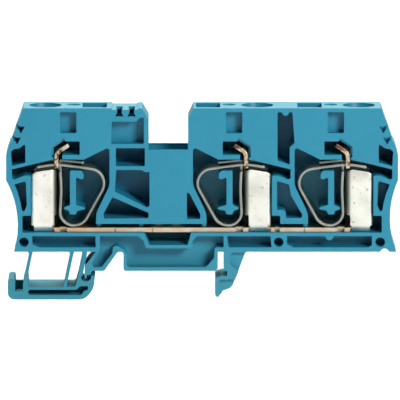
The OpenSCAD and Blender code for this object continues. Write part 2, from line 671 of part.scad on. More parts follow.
// Folded sheet channel round the conductor; its rounded lips wrap the tongue's edges
module conductor_sleeve(i) {
    y0 = mid_y - sleeve_w / 2;
    y1 = mid_y + sleeve_w / 2;
    lip = (sleeve_w - neck_w) / 2 - 0.1;
    inner = lip_u + sheet_t;
    color("#e9e9e2") at_clamp(i) {
        intersection() {
            linear_extrude(sleeve_top + 1) polygon(rounded([
                [sleeve_reach, y0, 0.6], [sleeve_reach, y1, 0.6], [lip_u, y1, 1.3], [lip_u, y1 - lip],
                [inner, y1 - lip], [inner, y1 - sheet_t, 0.7],
                [sleeve_reach - sheet_t, y1 - sheet_t, 0.3], [sleeve_reach - sheet_t, y0 + sheet_t, 0.3],
                [inner, y0 + sheet_t, 0.7], [inner, y0 + lip], [lip_u, y0 + lip], [lip_u, y0, 1.3]]));
            slab(front, chamber_y) polygon(rounded([
                [lip_u - 1, step_h], [lip_u - 1, sleeve_top - 0.85], [1.2, sleeve_top, 0.8],
                [sleeve_reach, sleeve_top - 0.85, 1.2], [sleeve_reach, sleeve_low],
                [sleeve_in + 0.1, sleeve_low], [sleeve_in + 0.1, step_h]]));
        }
        for (side = [[y0, 1], [y1, -1]])
            translate([sleeve_in + 0.3, 0, 0]) rotate([90, 0, 90])
                linear_extrude(sleeve_reach - sleeve_in - 1.3) polygon([
                    [side[0], sleeve_low + 0.1], [side[0] + side[1] * sheet_t, sleeve_low + 0.1],
                    [side[0] + side[1] * (sheet_t + tab_lean), tab_low],
                    [side[0] + side[1] * tab_lean, tab_low]]);
    }
}

housing();
release_foot();
current_bar();
contact_tongue(0);  // contact_tongue_left
contact_tongue(1);  // contact_tongue_middle
contact_tongue(2);  // contact_tongue_right
clamp_spring(0);  // clamp_spring_left
clamp_spring(1);  // clamp_spring_middle
clamp_spring(2);  // clamp_spring_right
conductor_sleeve(0);  // conductor_sleeve_left
conductor_sleeve(1);  // conductor_sleeve_middle
conductor_sleeve(2);  // conductor_sleeve_right
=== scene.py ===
# %% [markdown]
# # A feed-through terminal block
# The block is one blue moulding that clips on a 35 mm rail. Its side is open, so the clamps show: three
# strips of spring steel bent to teardrops, three tinned sleeves for the wires, and three copper tongues
# on one copper bar. The exact shapes come from the CAD frame. This lesson adds the camera, the light,
# the finishes and soft edges, folds the sleeves from sheet, and makes new pieces for the two parts that
# bend in the real block: the springs and the struts of the release foot.

# %% Load the frame
import json
import math

import bmesh
import bpy
import numpy as np
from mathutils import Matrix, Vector


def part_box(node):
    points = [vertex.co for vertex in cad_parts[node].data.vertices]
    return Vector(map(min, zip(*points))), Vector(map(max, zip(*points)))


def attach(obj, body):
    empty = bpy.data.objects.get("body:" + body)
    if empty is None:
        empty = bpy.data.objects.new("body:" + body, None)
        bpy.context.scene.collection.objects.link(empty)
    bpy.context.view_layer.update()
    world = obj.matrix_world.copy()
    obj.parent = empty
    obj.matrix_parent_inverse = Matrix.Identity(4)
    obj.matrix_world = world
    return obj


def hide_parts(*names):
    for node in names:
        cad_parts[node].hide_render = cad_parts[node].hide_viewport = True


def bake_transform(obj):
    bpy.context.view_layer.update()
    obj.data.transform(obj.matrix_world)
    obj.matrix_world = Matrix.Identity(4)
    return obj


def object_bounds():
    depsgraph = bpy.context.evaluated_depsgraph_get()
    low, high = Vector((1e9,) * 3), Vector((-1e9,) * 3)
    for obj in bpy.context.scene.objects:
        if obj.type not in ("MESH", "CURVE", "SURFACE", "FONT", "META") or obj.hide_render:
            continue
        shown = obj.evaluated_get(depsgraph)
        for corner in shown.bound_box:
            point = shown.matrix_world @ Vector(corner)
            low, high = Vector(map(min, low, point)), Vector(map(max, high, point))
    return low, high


MM = 0.001
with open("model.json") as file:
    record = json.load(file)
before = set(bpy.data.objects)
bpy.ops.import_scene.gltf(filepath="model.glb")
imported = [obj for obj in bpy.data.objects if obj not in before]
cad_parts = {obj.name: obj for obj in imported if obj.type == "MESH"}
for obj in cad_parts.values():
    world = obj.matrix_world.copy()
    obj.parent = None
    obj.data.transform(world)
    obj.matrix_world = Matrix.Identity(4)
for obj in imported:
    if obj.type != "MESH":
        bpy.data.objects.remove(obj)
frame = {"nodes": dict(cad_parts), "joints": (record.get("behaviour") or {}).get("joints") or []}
cad_low, cad_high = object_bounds()
nodes = frame["nodes"]
print("nodes:", ", ".join(sorted(nodes)))
print("size in mm:", [round(side / MM, 2) for side in cad_high - cad_low])

# %% [markdown]
# ## Camera
# The picture is almost a straight front view, taken from far away and a little above. A long lens far
# off keeps the two ends of the block the same size. The rail is 35 mm wide, which gives the picture's
# scale in pixels per millimetre, and the middle of the rail's top face is the frame's origin, so two
# pixel values aim the camera.

# %% Camera
PICTURE_SIDE = 400
PIXELS_PER_MM = 3.87
RAIL_MIDDLE_PX = 159
RAIL_TOP_PX = 271
ELEVATION = math.radians(8.8)
DISTANCE = 2.0
VIEW_LIMIT = 20


def add_object(name, data):
    """Puts a new object into the scene, at the origin and unturned."""
    thing = bpy.data.objects.new(name, data)
    bpy.context.scene.collection.objects.link(thing)
    return thing


open_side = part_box("housing")[0].y
aim = Vector((
    (PICTURE_SIDE / 2 - RAIL_MIDDLE_PX) / PIXELS_PER_MM * MM,
    open_side,
    (RAIL_TOP_PX - PICTURE_SIDE / 2) / PIXELS_PER_MM / math.cos(ELEVATION) * MM,
))
towards_camera = Vector((0, -math.cos(ELEVATION), math.sin(ELEVATION)))

camera_data = bpy.data.cameras.new("camera")
camera_data.lens = camera_data.sensor_width * DISTANCE / (PICTURE_SIDE / PIXELS_PER_MM * MM)
camera_data.clip_end = VIEW_LIMIT
camera = add_object("camera", camera_data)
camera.location = aim + towards_camera * DISTANCE
camera.rotation_euler = (-towards_camera).to_track_quat("-Z", "Y").to_euler()
bpy.context.scene.camera = camera
print("lens in mm:", round(camera_data.lens), "aimed at", [round(c / MM, 2) for c in aim])

# %% [markdown]
# ## Studio
# A small key light stands in front on the right, a little above the block, and leaves the deep pockets
# dark. A large panel overhead and behind, tinted a cool green, makes the top faces nearly twice as
# bright as the front and gleams on them, since the camera looks along them; a second panel low behind
# adds to that gleam. The world light is weak, so that the pockets stay dark. The floor lies well below,
# where no shadow touches the block, and its paper is a trace rosier than white, which the cool panels
# turn neutral.

# %% Studio
FLOOR_DROP = 0.06
FLOOR_SIDE = 16
FLOOR_COLOUR = (0.86, 0.74, 0.79)
FLOOR_ROUGHNESS = 1
WORLD_LIGHT = 0.08
WHITE = (1, 1, 1)
COOL_GREEN = (0.82, 1.0, 0.91)
# Each light's place, its width and height, its power and its colour, in metres and watts
SOFT_LIGHTS = {
    "key_light": (Vector((0.53, -0.82, 0.48)), (0.3, 0.3), 8.3, WHITE),
    "overhead_light": (Vector((0, 1.0, 1.6)), (2.4, 2.4), 76, COOL_GREEN),
    "back_light": (Vector((0, 1.6, 0.5)), (2.4, 0.9), 4, COOL_GREEN),
}
floor_height = cad_low.z - FLOOR_DROP


def make_floor():
    """A single square, centred under the block: corners at plus and minus half its side."""
    corners = np.array([[-1, -1], [1, -1], [1, 1], [-1, 1]]) * FLOOR_SIDE / 2
    points = np.column_stack([corners, np.full(len(corners), floor_height)])
    mesh = bpy.data.meshes.new("floor")
    mesh.from_pydata(points.tolist(), [], [(0, 1, 2, 3)])
    paper = bpy.data.materials.new("floor_paper")
    paper.use_nodes = True
    shader = paper.node_tree.nodes["Principled BSDF"]
    shader.inputs["Base Color"].default_value = (*FLOOR_COLOUR, 1)
    shader.inputs["Roughness"].default_value = FLOOR_ROUGHNESS
    mesh.materials.append(paper)
    add_object("floor", mesh)


def make_soft_light(name, place, size, power, colour):
    """A rectangular lamp that looks at the point the camera is aimed at, and is not seen itself."""
    lamp_data = bpy.data.lights.new(name, "AREA")
    lamp_data.shape = "RECTANGLE"
    lamp_data.size, lamp_data.size_y = size
    lamp_data.energy = power
    lamp_data.color = colour
    lamp = add_object(name, lamp_data)
    lamp.location = place
    lamp.rotation_euler = (aim - place).to_track_quat("-Z", "Y").to_euler()
    lamp.visible_camera = False


make_floor()
for light_name, settings in SOFT_LIGHTS.items():
    make_soft_light(light_name, *settings)
world = bpy.data.worlds.new("studio")
world.use_nodes = True
background = world.node_tree.nodes["Background"]
background.inputs["Color"].default_value = (*WHITE, 1)
background.inputs["Strength"].default_value = WORLD_LIGHT
bpy.context.scene.world = world
bpy.context.scene.view_settings.view_transform = "Standard"
print("studio:", len(SOFT_LIGHTS), "soft lights, floor at", round(floor_height / MM, 1), "mm")

# %% [markdown]
# ## Tools for finishes
# Every finish is a small node tree. Its patterns read the Object coordinates, which are metres in the
# shared frame, so a pattern's scale is the number of its features in a metre. These helpers keep the
# trees short: one starts a material, one adds a noise pattern, two work on numbers, one mixes two
# colours by a share from 0 to 1, and one tilts the shading by a pattern.

# %% Tools for finishes
# A Mix node has sockets of the same name for every data type, so its colour sockets are picked by number
MIX_SHARE, MIX_FIRST, MIX_SECOND, MIX_RESULT = 0, 6, 7, 2


def new_finish(name, roughness, metallic=0.0):
    """A material with a Principled shader; returns the material, its node tree and the shader."""
    material = bpy.data.materials.new(name)
    material.use_nodes = True
    tree = material.node_tree
    shader = tree.nodes["Principled BSDF"]
    shader.inputs["Roughness"].default_value = roughness
    shader.inputs["Metallic"].default_value = metallic
    return material, tree, shader


def noise(tree, scale, detail, stretch=(1, 1, 1), output="Object"):
    """A noise pattern with `scale` features in a metre, squeezed along each axis by `stretch`."""
    place = tree.nodes.new("ShaderNodeTexCoord")
    squeeze = tree.nodes.new("ShaderNodeMapping")
    squeeze.inputs["Scale"].default_value = stretch
    pattern = tree.nodes.new("ShaderNodeTexNoise")
    pattern.inputs["Scale"].default_value = scale
    pattern.inputs["Detail"].default_value = detail
    tree.links.new(place.outputs[output], squeeze.inputs["Vector"])
    tree.links.new(squeeze.outputs["Vector"], pattern.inputs["Vector"])
    return pattern.outputs["Fac"]


def ramp(tree, value, low, high, start=0.0, end=1.0):
    """Carries a value from the span low..high to the span start..end, clamped at both ends."""
    node = tree.nodes.new("ShaderNodeMapRange")
    node.inputs["From Min"].default_value = low
    node.inputs["From Max"].default_value = high
    node.inputs["To Min"].default_value = start
    node.inputs["To Max"].default_value = end
    tree.links.new(value, node.inputs["Value"])
    return node.outputs["Result"]


def calculate(tree, operation, *values):
    """One number from one or two others, by a Math node's operation."""
    node = tree.nodes.new("ShaderNodeMath")
    node.operation = operation
    for socket, value in zip(node.inputs, values):
        tree.links.new(value, socket)
    return node.outputs["Value"]


def mix_colours(tree, share, first, second):
    """The colour first where share is 0 and second where it is 1; either may be a colour or a socket."""
    node = tree.nodes.new("ShaderNodeMix")
    node.data_type = "RGBA"
    for number, colour in ((MIX_FIRST, first), (MIX_SECOND, second)):
        if isinstance(colour, tuple):
            node.inputs[number].default_value = (*colour, 1)
        else:
            tree.links.new(colour, node.inputs[number])
    tree.links.new(share, node.inputs[MIX_SHARE])
    return node.outputs[MIX_RESULT]


def bump(tree, shader, height, depth, strength):
    """Tilts the shading by a height pattern whose full swing is depth metres."""
    node = tree.nodes.new("ShaderNodeBump")
    node.inputs["Distance"].default_value = depth
    node.inputs["Strength"].default_value = strength
    tree.links.new(height, node.inputs["Height"])
    tree.links.new(node.outputs["Normal"], shader.inputs["Normal"])


print("finish tools ready")

# %% [markdown]
# ## Tools for places
# Wear, coloured tips and painted shade belong to one part of a piece. They could be drawn into a texture
# or unwrapped, but a place in the shared frame is enough: a share that rises along X or Z, a share that is
# 0 only within a box, or the way that the surface faces.

# %% Tools for places
BOX_EDGE = 0.06 * MM


def split(tree, vector):
    """The X, Y and Z parts of a vector."""
    node = tree.nodes.new("ShaderNodeSeparateXYZ")
    tree.links.new(vector, node.inputs["Vector"])
    return node.outputs


def object_place(tree):
    """The place of each point of the surface, in metres in the shared frame."""
    return tree.nodes.new("ShaderNodeTexCoord").outputs["Object"]


def normal_part(tree, axis):
    """How far the surface faces along the axis, from -1 to 1: that part of its normal."""
    return split(tree, tree.nodes.new("ShaderNodeNewGeometry").outputs["Normal"])[axis]


def along(tree, axis, low, high):
    """0 before the place low and 1 after the place high along X or Z, both in millimetres."""
    return ramp(tree, split(tree, object_place(tree))[axis], low * MM, high * MM)


def outside(tree, low, high):
    """0 in the box from low to high and 1 outside it, in millimetres: the largest of the three distances
    past the box's sides decides, and each is the distance from the box's middle less half its side."""
    low, high = np.array(low) * MM, np.array(high) * MM
    middle, half_side = (low + high) / 2, (high - low) / 2
    vector = object_place(tree)
    for operation, amount in (("SUBTRACT", middle), ("ABSOLUTE", (0, 0, 0)), ("SUBTRACT", half_side)):
        node = tree.nodes.new("ShaderNodeVectorMath")
        node.operation = operation
        node.inputs[1].default_value = amount
        tree.links.new(vector, node.inputs[0])
        vector = node.outputs["Vector"]
    past = split(tree, vector)
    past_x_or_y = calculate(tree, "MAXIMUM", past["X"], past["Y"])
    return ramp(tree, calculate(tree, "MAXIMUM", past_x_or_y, past["Z"]), 0, BOX_EDGE)


print("a box's edge fades over", round(BOX_EDGE / MM, 2), "mm")

# %% [markdown]
# ## Blue moulded plastic
# The housing is moulded in blue polyamide: an even satin surface with a faint cloudiness where the melt
# flowed, and the fine grain of an eroded mould. Two noises make the cloud and the grain. Towards the
# foot, where the rail and fingers rub it, the plastic is a little greyer and duller, so a height in the
# frame mixes in a blue greyed by wear. The floors of the two marker grooves beside the jumper notch, and
# the notch's sill, are painted dark as shade and have no specular, each by a box round it. The foot
# gleams least, so it has a copy of the finish with its own specular level and its own blue, greyed by
# wear and painted paler in place of the sheen that it loses.

# %% Blue moulded plastic
BLUE_DEEP = (0.010, 0.245, 0.372)
BLUE_LIGHT = (0.012, 0.260, 0.394)
BLUE_WORN = (0.030, 0.258, 0.345)
# Wear and painted sheen: the foot's blue, greyed by wear, is also painted paler in place of the sheen that
# its low gleam leaves out
FOOT_WEAR_AND_SHEEN = (0.046, 0.262, 0.345)
WORN_SPAN = (-3.0, 9.0)
WORN_ROUGHNESS, CLEAN_ROUGHNESS = 0.60, 0.42
CLOUDS_PER_M = 90
CLOUD_DETAIL = 4
CLOUD_SPAN = (0.3, 0.7)
GRAINS_PER_M = 4200
GRAIN_DETAIL = 1
GRAIN_DEPTH = 0.012 * MM
GRAIN_STRENGTH = 0.35
HOUSING_GLEAM = 0.5
FOOT_GLEAM = 0.12
# Painted shade: the marker groove floors and the notch's sill are coloured darker, as the shade there, and
# lose their specular
GROOVE_PAINTED_SHADE = (0.003, 0.03, 0.05)
GROOVE_BOX = (-11.8, -5.85, 39.8), (-5.4, 0.7, 41.3)
SILL_PAINTED_SHADE = (0.006, 0.12, 0.18)
SILL_BOX = (-2.8, -5.93, 31.5), (7.6, 5.93, 32.0)


def blue_plastic(name, wear_and_sheen_blue, gleam):
    """The colour follows a soft cloud and turns to a blue greyed by wear, and rougher, down the WORN_SPAN;
    on the foot that blue is painted paler as sheen. The two boxes are painted a dark shade and have none
    of the gleam, the shader's specular level; the bump is a grain."""
    material, tree, shader = new_finish(name, CLEAN_ROUGHNESS)
    groove, sill = outside(tree, *GROOVE_BOX), outside(tree, *SILL_BOX)
    clear = calculate(tree, "MULTIPLY", groove, sill)
    tree.links.new(ramp(tree, clear, 0, 1, 0, gleam), shader.inputs["Specular IOR Level"])
    cloud = ramp(tree, noise(tree, CLOUDS_PER_M, CLOUD_DETAIL), *CLOUD_SPAN)
    clean = along(tree, "Z", *WORN_SPAN)
    blue = mix_colours(tree, cloud, BLUE_DEEP, BLUE_LIGHT)
    open_blue = mix_colours(tree, clean, wear_and_sheen_blue, blue)
    shaded_sill = mix_colours(tree, sill, SILL_PAINTED_SHADE, open_blue)
    tree.links.new(mix_colours(tree, groove, GROOVE_PAINTED_SHADE, shaded_sill), shader.inputs["Base Color"])
    tree.links.new(ramp(tree, clean, 0, 1, WORN_ROUGHNESS, CLEAN_ROUGHNESS), shader.inputs["Roughness"])
    bump(tree, shader, noise(tree, GRAINS_PER_M, GRAIN_DETAIL), GRAIN_DEPTH, GRAIN_STRENGTH)
    return material


plastic = blue_plastic("blue_plastic", BLUE_WORN, HOUSING_GLEAM)
foot_plastic = blue_plastic("foot_plastic", FOOT_WEAR_AND_SHEEN, FOOT_GLEAM)
print("finishes:", plastic.name, foot_plastic.name)

# %% [markdown]
# ## Copper bar
# The bar is copper under a thin coat of tin, which starts some way from its left end, and the drawing
# die left fine streaks along it. Two noises make the warmer patches and the streaks, and a place along
# X mixes the bare copper into the tin, so the coat needs no edge of its own in the mesh.

# %% Copper bar
BAR_BARE = (0.74, 0.50, 0.29)
BAR_WARM = (0.70, 0.56, 0.39)
BAR_TIN = (0.75, 0.70, 0.57)
TIN_START = (-16, -10)
BAR_ROUGHNESS = 0.36
BAR_PATCHES_PER_M = 260
BAR_PATCH_SPAN = (0.40, 0.62)
BAR_STREAKS_PER_M = 3000
BAR_STREAK_DETAIL = 2
BAR_STRETCH = (0.04, 1, 1)
BAR_STREAK_DEPTH = 0.01 * MM
STREAK_SPAN = (0.3, 0.7)
STREAK_ROUGHNESS = (0.30, 0.46)
METAL_BUMP = 0.3
METAL_DETAIL = 3


def bar_copper():
    """Bare copper left of TIN_START and a thin coat of tin right of it, both with warmer patches, and fine
    drawn streaks along the block."""
    material, tree, shader = new_finish("bar_copper", BAR_ROUGHNESS, metallic=1.0)
    patch = ramp(tree, noise(tree, BAR_PATCHES_PER_M, METAL_DETAIL), *BAR_PATCH_SPAN)
    bare = mix_colours(tree, patch, BAR_BARE, BAR_WARM)
    coated = mix_colours(tree, patch, BAR_WARM, BAR_TIN)
    colour = mix_colours(tree, along(tree, "X", *TIN_START), bare, coated)
    tree.links.new(colour, shader.inputs["Base Color"])
    streak = noise(tree, BAR_STREAKS_PER_M, BAR_STREAK_DETAIL, BAR_STRETCH)
    tree.links.new(ramp(tree, streak, *STREAK_SPAN, *STREAK_ROUGHNESS), shader.inputs["Roughness"])
    bump(tree, shader, streak, BAR_STREAK_DEPTH, METAL_BUMP)
    return material


copper = bar_copper()
print("finish:", copper.name)

# %% [markdown]
# ## Copper tongues
# The tongues are copper too: their necks are painted near black inside the sleeves, as the shade that
# falls there, their heads are mottled, and the tips of two tails are burnt brown while the left one is
# pale. A height in the shared frame decides which is which, so one finish serves a whole tongue.

# %% Copper tongues
COPPER_PINK = (0.56, 0.43, 0.27)
COPPER_PALE = (0.80, 0.74, 0.56)
COPPER_DARK = (0.16, 0.105, 0.045)
TONGUE_ROUGHNESS = 0.40
MOTTLES_PER_M = 700
MOTTLE_SPAN = (0.35, 0.65)
SPOTS_PER_M = 900
SPOT_DETAIL = 2
SPOT_SPAN = (0.50, 0.60)
# Painted shade: the tongue's neck below the sleeve's mouth is coloured near black, where the sleeve shades
# it
NECK_PAINTED_SHADE = (0.014, 0.012, 0.011)
MOUTH_SPAN = (26.2, 26.8)
TIP_BROWN = (0.14, 0.08, 0.055)
TIP_PALE = (0.76, 0.67, 0.54)
TIP_SPAN = (31.7, 32.1)


def tongue_copper(name, tip_colour):
    """Mottled copper between two heights, painted near black below the sleeve's mouth as the shade there,
    and with the tip's colour near the tail's end."""
    material, tree, shader = new_finish(name, TONGUE_ROUGHNESS, metallic=1.0)
    patch = ramp(tree, noise(tree, MOTTLES_PER_M, METAL_DETAIL), *MOTTLE_SPAN)
    spot = ramp(tree, noise(tree, SPOTS_PER_M, SPOT_DETAIL), *SPOT_SPAN)
    mottled = mix_colours(tree, patch, COPPER_PINK, COPPER_PALE)
    head = mix_colours(tree, spot, mottled, COPPER_DARK)
    tail = mix_colours(tree, along(tree, "Z", *TIP_SPAN), head, tip_colour)
    colour = mix_colours(tree, along(tree, "Z", *MOUTH_SPAN), NECK_PAINTED_SHADE, tail)
    tree.links.new(colour, shader.inputs["Base Color"])
    return material


pale_tongue = tongue_copper("tongue_pale_tip", TIP_PALE)
brown_tongue = tongue_copper("tongue_brown_tip", TIP_BROWN)
print("finishes:", pale_tongue.name, brown_tongue.name)

# %% [markdown]
# ## Tinned sheet
# The sleeves are tinned sheet: milky white, with fine dark pits and greyer smears. The fold beside the
# tongue is painted grey as the shade that falls on it, and the cut edges show dark steel. The way that
# the surface faces tells a fold and an edge from a wall, so neither needs a map. The left sleeve is
# painted brighter than the others, as light that makes up for the key from the right, and its tongue is on
# the other side, so the finish is made twice.

# %% Tinned sheet
TIN_WHITE = (0.90, 0.92, 0.83)
TIN_GREY = (0.62, 0.63, 0.575)
# Painted light: the left sleeve's copy, white and smears alike, is painted brighter to make up for the key
# light from the right
TIN_BRIGHT = (1.0, 1.0, 0.915)
TIN_DULL = (0.80, 0.81, 0.74)
# Painted shade: the fold beside the tongue is coloured grey by the way it faces, as the shade on it
TIN_FOLD_PAINTED_SHADE = (0.30, 0.305, 0.24)
TIN_CUT = (0.10, 0.095, 0.085)
PIT_BROWN = (0.46, 0.42, 0.34)
TIN_ROUGHNESS = 0.5
SMEARS_PER_M = 170
SMEAR_DETAIL = 4
SMEAR_SPAN = (0.45, 0.75)
SMEAR_SHARES = (0.0, 0.8)
SMEAR_FULL = 0.7
SMEAR_ROUGHNESS = (0.55, 0.40)
PITS_PER_M = 900
PIT_SPAN = (0.62, 0.72)
PIT_SHARES = (0.0, 0.8)
PIT_DEPTH = 0.03 * MM
FOLD_FROM, FOLD_FULL = 0.04, 0.50
CUT_SPAN = (0.75, 0.9)
TONGUE_LEFT, TONGUE_RIGHT = -1, 1


def tinned_sheet(name, white, grey, tongue_side):
    """White tin with grey smears; pits are the rare peaks of a fine noise. The coat fades to a painted
    grey shade as the normal turns to the tongue's side along X, and to dark steel as it turns up or down."""
    material, tree, shader = new_finish(name, TIN_ROUGHNESS, metallic=1.0)
    smear = ramp(tree, noise(tree, SMEARS_PER_M, SMEAR_DETAIL), *SMEAR_SPAN, *SMEAR_SHARES)
    pits = noise(tree, PITS_PER_M, METAL_DETAIL)
    smeared = mix_colours(tree, smear, white, grey)
    coat = mix_colours(tree, ramp(tree, pits, *PIT_SPAN, *PIT_SHARES), smeared, PIT_BROWN)
    turned = ramp(tree, normal_part(tree, "X"), tongue_side * FOLD_FROM, tongue_side * FOLD_FULL)
    folded = mix_colours(tree, turned, coat, TIN_FOLD_PAINTED_SHADE)
    cut = ramp(tree, calculate(tree, "ABSOLUTE", normal_part(tree, "Z")), *CUT_SPAN)
    tree.links.new(mix_colours(tree, cut, folded, TIN_CUT), shader.inputs["Base Color"])
    tree.links.new(ramp(tree, smear, 0, SMEAR_FULL, *SMEAR_ROUGHNESS), shader.inputs["Roughness"])
    bump(tree, shader, pits, PIT_DEPTH, METAL_BUMP)
    return material


tin = tinned_sheet("tinned_sheet", TIN_WHITE, TIN_GREY, TONGUE_LEFT)
painted_bright_tin = tinned_sheet("painted_bright_tinned_sheet", TIN_BRIGHT, TIN_DULL, TONGUE_RIGHT)
print("finishes:", tin.name, painted_bright_tin.name)

# %% [markdown]
# ## Spring steel
# The springs are rolled strip, and rolling leaves streaks along the strip. Object coordinates would cut
# straight across the bends, so the streaks read a UV map that follows the strip, in metres along it and
# across it.

# %% Spring steel
STEEL_GREY = (0.28, 0.295, 0.255)
STEEL_PALE = (0.44, 0.46, 0.41)
STEEL_ROUGHNESS = 0.36
STEEL_STREAKS_PER_M = 2600
STEEL_STRETCH = (0.03, 1, 1)
STEEL_STREAK_DEPTH = 0.006 * MM


def spring_steel():
    """Grey strip with streaks along its length: the pattern is squeezed along the strip's U direction."""
    material, tree, shader = new_finish("spring_steel", STEEL_ROUGHNESS, metallic=1.0)
    streak = noise(tree, STEEL_STREAKS_PER_M, METAL_DETAIL, STEEL_STRETCH, output="UV")
    colour = mix_colours(tree, ramp(tree, streak, *STREAK_SPAN), STEEL_GREY, STEEL_PALE)
    tree.links.new(colour, shader.inputs["Base Color"])
    tree.links.new(ramp(tree, streak, *STREAK_SPAN, *STREAK_ROUGHNESS), shader.inputs["Roughness"])
    bump(tree, shader, streak, STEEL_STREAK_DEPTH, METAL_BUMP)
    return material


steel = spring_steel()
print("finish:", steel.name)

# %% [markdown]
# ## Soft edges on the rigid pieces
# A moulding's edges are never knife sharp: a radius of a tenth of a millimetre catches the light. A CAD
# mesh is loose triangles, so three modifiers work in a row: Weld joins them, a planar Decimate turns
# coplanar triangles into whole faces, and Bevel rounds the sharp edges that are left. Editing the mesh
# would do the same, but with modifiers it stays as the CAD made it.

# %% Soft edges on the rigid pieces
MERGE_DISTANCE = 0.001 * MM
SHARP_ANGLE = math.radians(32)
FLAT_ANGLE = math.radians(0.6)
EDGE_SEGMENTS = 2
PLASTIC_EDGE = 0.12 * MM
COPPER_EDGE = 0.08 * MM


def round_edges(piece, radius, sharp_angle=None):
    """Rounds the edges that are sharper than the angle or, without one, the edges that have a weight."""
    rounding = piece.modifiers.new("rounding", "BEVEL")
    rounding.width = radius
    rounding.segments = EDGE_SEGMENTS
    rounding.limit_method = "WEIGHT" if sharp_angle is None else "ANGLE"
    if sharp_angle is not None:
        rounding.angle_limit = sharp_angle


def give_finish(piece, material):
    """Makes the material the only one of the piece."""
    piece.data.materials.clear()
    piece.data.materials.append(material)


def dress(node, material, edge_radius):
    """Gives a CAD node its finish, welds it, joins its coplanar faces and rounds its sharp edges."""
    piece = nodes[node]
    give_finish(piece, material)
    weld = piece.modifiers.new("weld", "WELD")
    weld.merge_threshold = MERGE_DISTANCE
    flatten = piece.modifiers.new("flatten", "DECIMATE")
    flatten.decimate_type = "DISSOLVE"
    flatten.angle_limit = FLAT_ANGLE
    round_edges(piece, edge_radius, SHARP_ANGLE)


tongue_finishes = {"left": pale_tongue, "middle": brown_tongue, "right": brown_tongue}
dress("housing", plastic, PLASTIC_EDGE)
dress("current_bar", copper, COPPER_EDGE)
for clamp, finish in tongue_finishes.items():
    dress("contact_tongue_" + clamp, finish, COPPER_EDGE)
print("dressed: housing, current_bar and", len(tongue_finishes), "tongues")

# %% [markdown]
# ## Release foot
# The foot hangs on three thin struts of the same moulding. When a screwdriver pulls it out, the struts
# bend to an S: their tops stay with the base and their lower ends go with the foot. The CAD mesh has no
# points along a strut, so a copy of it is cut at many heights. Bevel rounds only the edges that carry a
# weight, so that no groove shows where the tops of the struts run into the base.

# %% Release foot
STRUT_CUTS = 14
STRUT_LOW_SHARE = 0.47


def cut_at_heights(mesh, heights, top):
    """Slices a mesh with level planes, so that it has points at each of the heights, and gives a bevel
    weight to each edge that is sharper than SHARP_ANGLE and has an end below the top."""
    shape = bmesh.new()
    shape.from_mesh(mesh)
    bmesh.ops.remove_doubles(shape, verts=shape.verts, dist=MERGE_DISTANCE)
    bmesh.ops.dissolve_limit(shape, angle_limit=FLAT_ANGLE, verts=shape.verts, edges=shape.edges)
    for height in heights:
        parts = shape.verts[:] + shape.edges[:] + shape.faces[:]
        bmesh.ops.bisect_plane(shape, geom=parts, plane_co=(0, 0, height), plane_no=(0, 0, 1))
    weight = shape.edges.layers.float.new("bevel_weight_edge")
    for edge in shape.edges:
        starts_below = min(end.co.z for end in edge.verts) < top - MERGE_DISTANCE
        edge[weight] = float(starts_below and edge.calc_face_angle(0) > SHARP_ANGLE)
    shape.to_mesh(mesh)
    shape.free()


foot_low, foot_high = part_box("release_foot")
strut_low = foot_high.z - STRUT_LOW_SHARE * (foot_high.z - foot_low.z)
foot = add_object("flexing_foot", nodes["release_foot"].data.copy())
cut_at_heights(foot.data, np.linspace(strut_low, foot_high.z, STRUT_CUTS)[:-1], foot_high.z)
give_finish(foot, foot_plastic)
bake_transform(foot)
round_edges(foot, PLASTIC_EDGE)
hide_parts("release_foot")
print("flexing foot:", len(foot.data.vertices), "points, struts from", round(strut_low / MM, 2), "mm up")

# %% [markdown]
# ## Lines with rounded corners
# Springs and sleeves are bent from flat strip and sheet, so each is a line of straight runs and arcs,
# seen from the front or from above. A curve object with a flat profile could draw it, but a grid of
# points can leave out a window and can be bent later. One function turns corners and radii into points,
# a whole arc at a time.

# %% Lines with rounded corners
ARC_STEP = math.radians(6)
FEWEST_ARC_POINTS = 3
SHARE_OF_RUN = 0.49


def rounded_line(corners):
    """Points along straight runs between corners (u, v, radius), each corner replaced by an arc of its
    radius: the arc starts and ends at its reach, radius / tan(half the corner's angle), from the corner,
    and turns about the point on the corner's bisector at radius / sin(half the angle). Two arcs share the
    run between them, so neither reaches past its middle, and the radius shrinks where it has to."""
    points = np.array([c[:2] for c in corners], float)
    runs = np.linalg.norm(np.diff(points, axis=0), axis=1)
    room = runs * SHARE_OF_RUN
    room[[0, -1]] = runs[[0, -1]]
    pieces = [points[:1]]
    for i in range(1, len(points) - 1):
        back = (points[i - 1] - points[i]) / runs[i - 1]
        ahead = (points[i + 1] - points[i]) / runs[i]
        half = math.acos(np.clip(back @ ahead, -1, 1)) / 2
        reach = min(corners[i][2] / math.tan(half), room[i - 1], room[i])
        radius = reach * math.tan(half)
        centre = points[i] + (back + ahead) / np.linalg.norm(back + ahead) * radius / math.sin(half)
        first = points[i] + back * reach - centre
        turn = (math.pi - 2 * half) * -np.sign(back[0] * ahead[1] - back[1] * ahead[0])
        angles = np.linspace(0, turn, max(FEWEST_ARC_POINTS, int(abs(turn) / ARC_STEP) + 2))
        across = np.array([-first[1], first[0]])
        pieces.append(centre + np.outer(np.cos(angles), first) + np.outer(np.sin(angles), across))
    pieces.append(points[-1:])
    return np.concatenate(pieces)


def lengths_along(line):
    """Distance from the line's start to each of its points."""
    return np.concatenate([[0], np.cumsum(np.linalg.norm(np.diff(line, axis=0), axis=1))])


print("arcs turn by", round(math.degrees(ARC_STEP)), "degrees a step")

# %% [markdown]
# ## Strip along a line
# A strip is a surface of two parameters: the distance along the line and the place across it. The cells
# of the grid that lie in a window, or beside a narrow part, are left out. Solidify then gives the sheet
# its thickness, and Bevel takes the burr off its edges.

# %% Strip along a line
LINE_STEP = 0.5
LEAST_STEP = 0.02
STRIP_EDGE = 0.07
STRIP_SHARP_ANGLE = math.radians(50)


